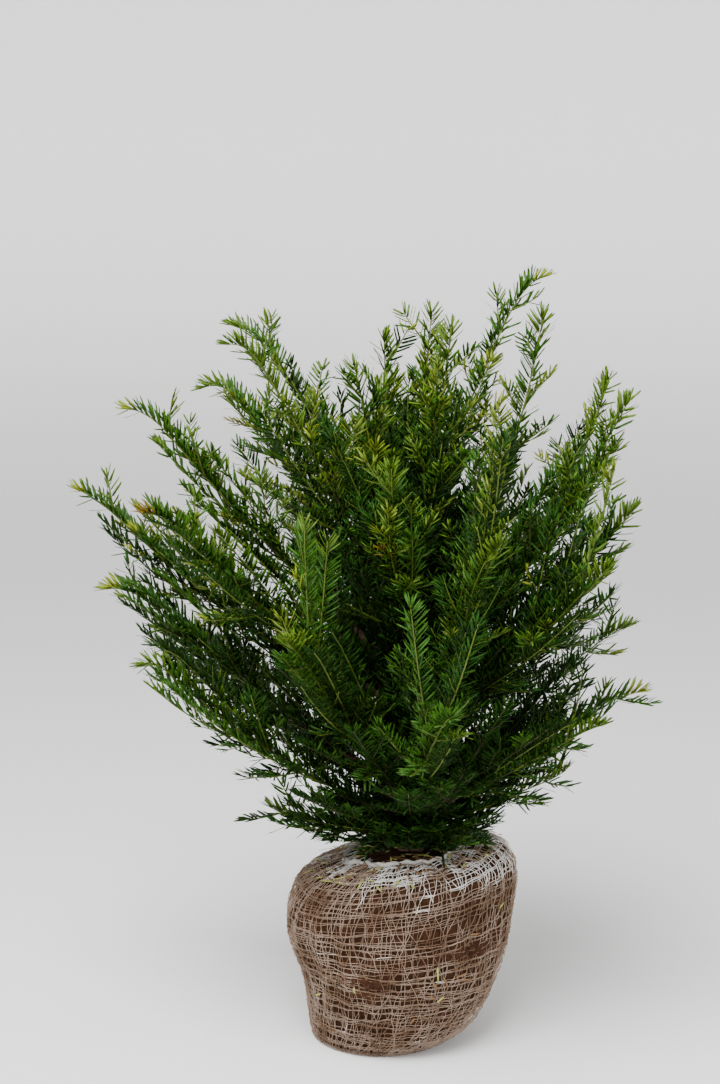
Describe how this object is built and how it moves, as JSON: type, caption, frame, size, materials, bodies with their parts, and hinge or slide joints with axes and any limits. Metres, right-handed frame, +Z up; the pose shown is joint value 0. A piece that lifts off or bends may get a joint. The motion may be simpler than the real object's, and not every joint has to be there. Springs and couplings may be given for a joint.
{
  "type": "english yew shrub with netted root ball",
  "caption": "Young evergreen shrub with flat dark needles on spreading shoots, standing on a root ball wrapped in jute net.",
  "frame": {"origin": "centre of the root ball's flat underside", "axes": "+Z up along the plant, +X to the right and +Y away in the view the sizes were read from"},
  "size_m": [0.6006, 0.5309, 0.7818],
  "materials": {
    "netted_soil": "matte",
    "bark": "matte",
    "needles": "satin"
  },
  "bodies": {
    "root": {"bough_back_high": "bark", "bough_back_left": "bark", "bough_back_low": "bark", "bough_back_right": "bark", "bough_front_high": "bark", "bough_front_left": "bark", "bough_front_low": "bark", "bough_front_right": "bark", "bough_left_crest_back": "bark", "bough_left_crest_front": "bark", "bough_left_far": "bark", "bough_left_far_front": "bark", "bough_left_high": "bark", "bough_left_high_back": "bark", "bough_left_low_back": "bark", "bough_left_low_front": "bark", "bough_left_middle": "bark", "bough_right_crest_back": "bark", "bough_right_crest_front": "bark", "bough_right_far": "bark", "bough_right_high_back": "bark", "bough_right_high_front": "bark", "bough_right_low": "bark", "bough_right_low_back": "bark", "bough_right_low_front": "bark", "bough_right_middle_front": "bark", "foliage_back_high": "needles", "foliage_back_left": "needles", "foliage_back_low": "needles", "foliage_back_right": "needles", "foliage_centre_back": "needles", "foliage_centre_crest": "needles", "foliage_centre_front": "needles", "foliage_centre_left": "needles", "foliage_front_high": "needles", "foliage_front_left": "needles", "foliage_front_low": "needles", "foliage_front_right": "needles", "foliage_left_crest_back": "needles", "foliage_left_crest_front": "needles", "foliage_left_far": "needles", "foliage_left_far_front": "needles", "foliage_left_high": "needles", "foliage_left_high_back": "needles", "foliage_left_low_back": "needles", "foliage_left_low_front": "needles", "foliage_left_middle": "needles", "foliage_left_skirt": "needles", "foliage_right_crest_back": "needles", "foliage_right_crest_front": "needles", "foliage_right_far": "needles", "foliage_right_high_back": "needles", "foliage_right_high_front": "needles", "foliage_right_low": "needles", "foliage_right_low_back": "needles", "foliage_right_low_front": "needles", "foliage_right_middle_front": "needles", "foliage_right_skirt": "needles", "root_ball": "netted_soil", "trunk": "bark"}
  },
  "joints": []
}
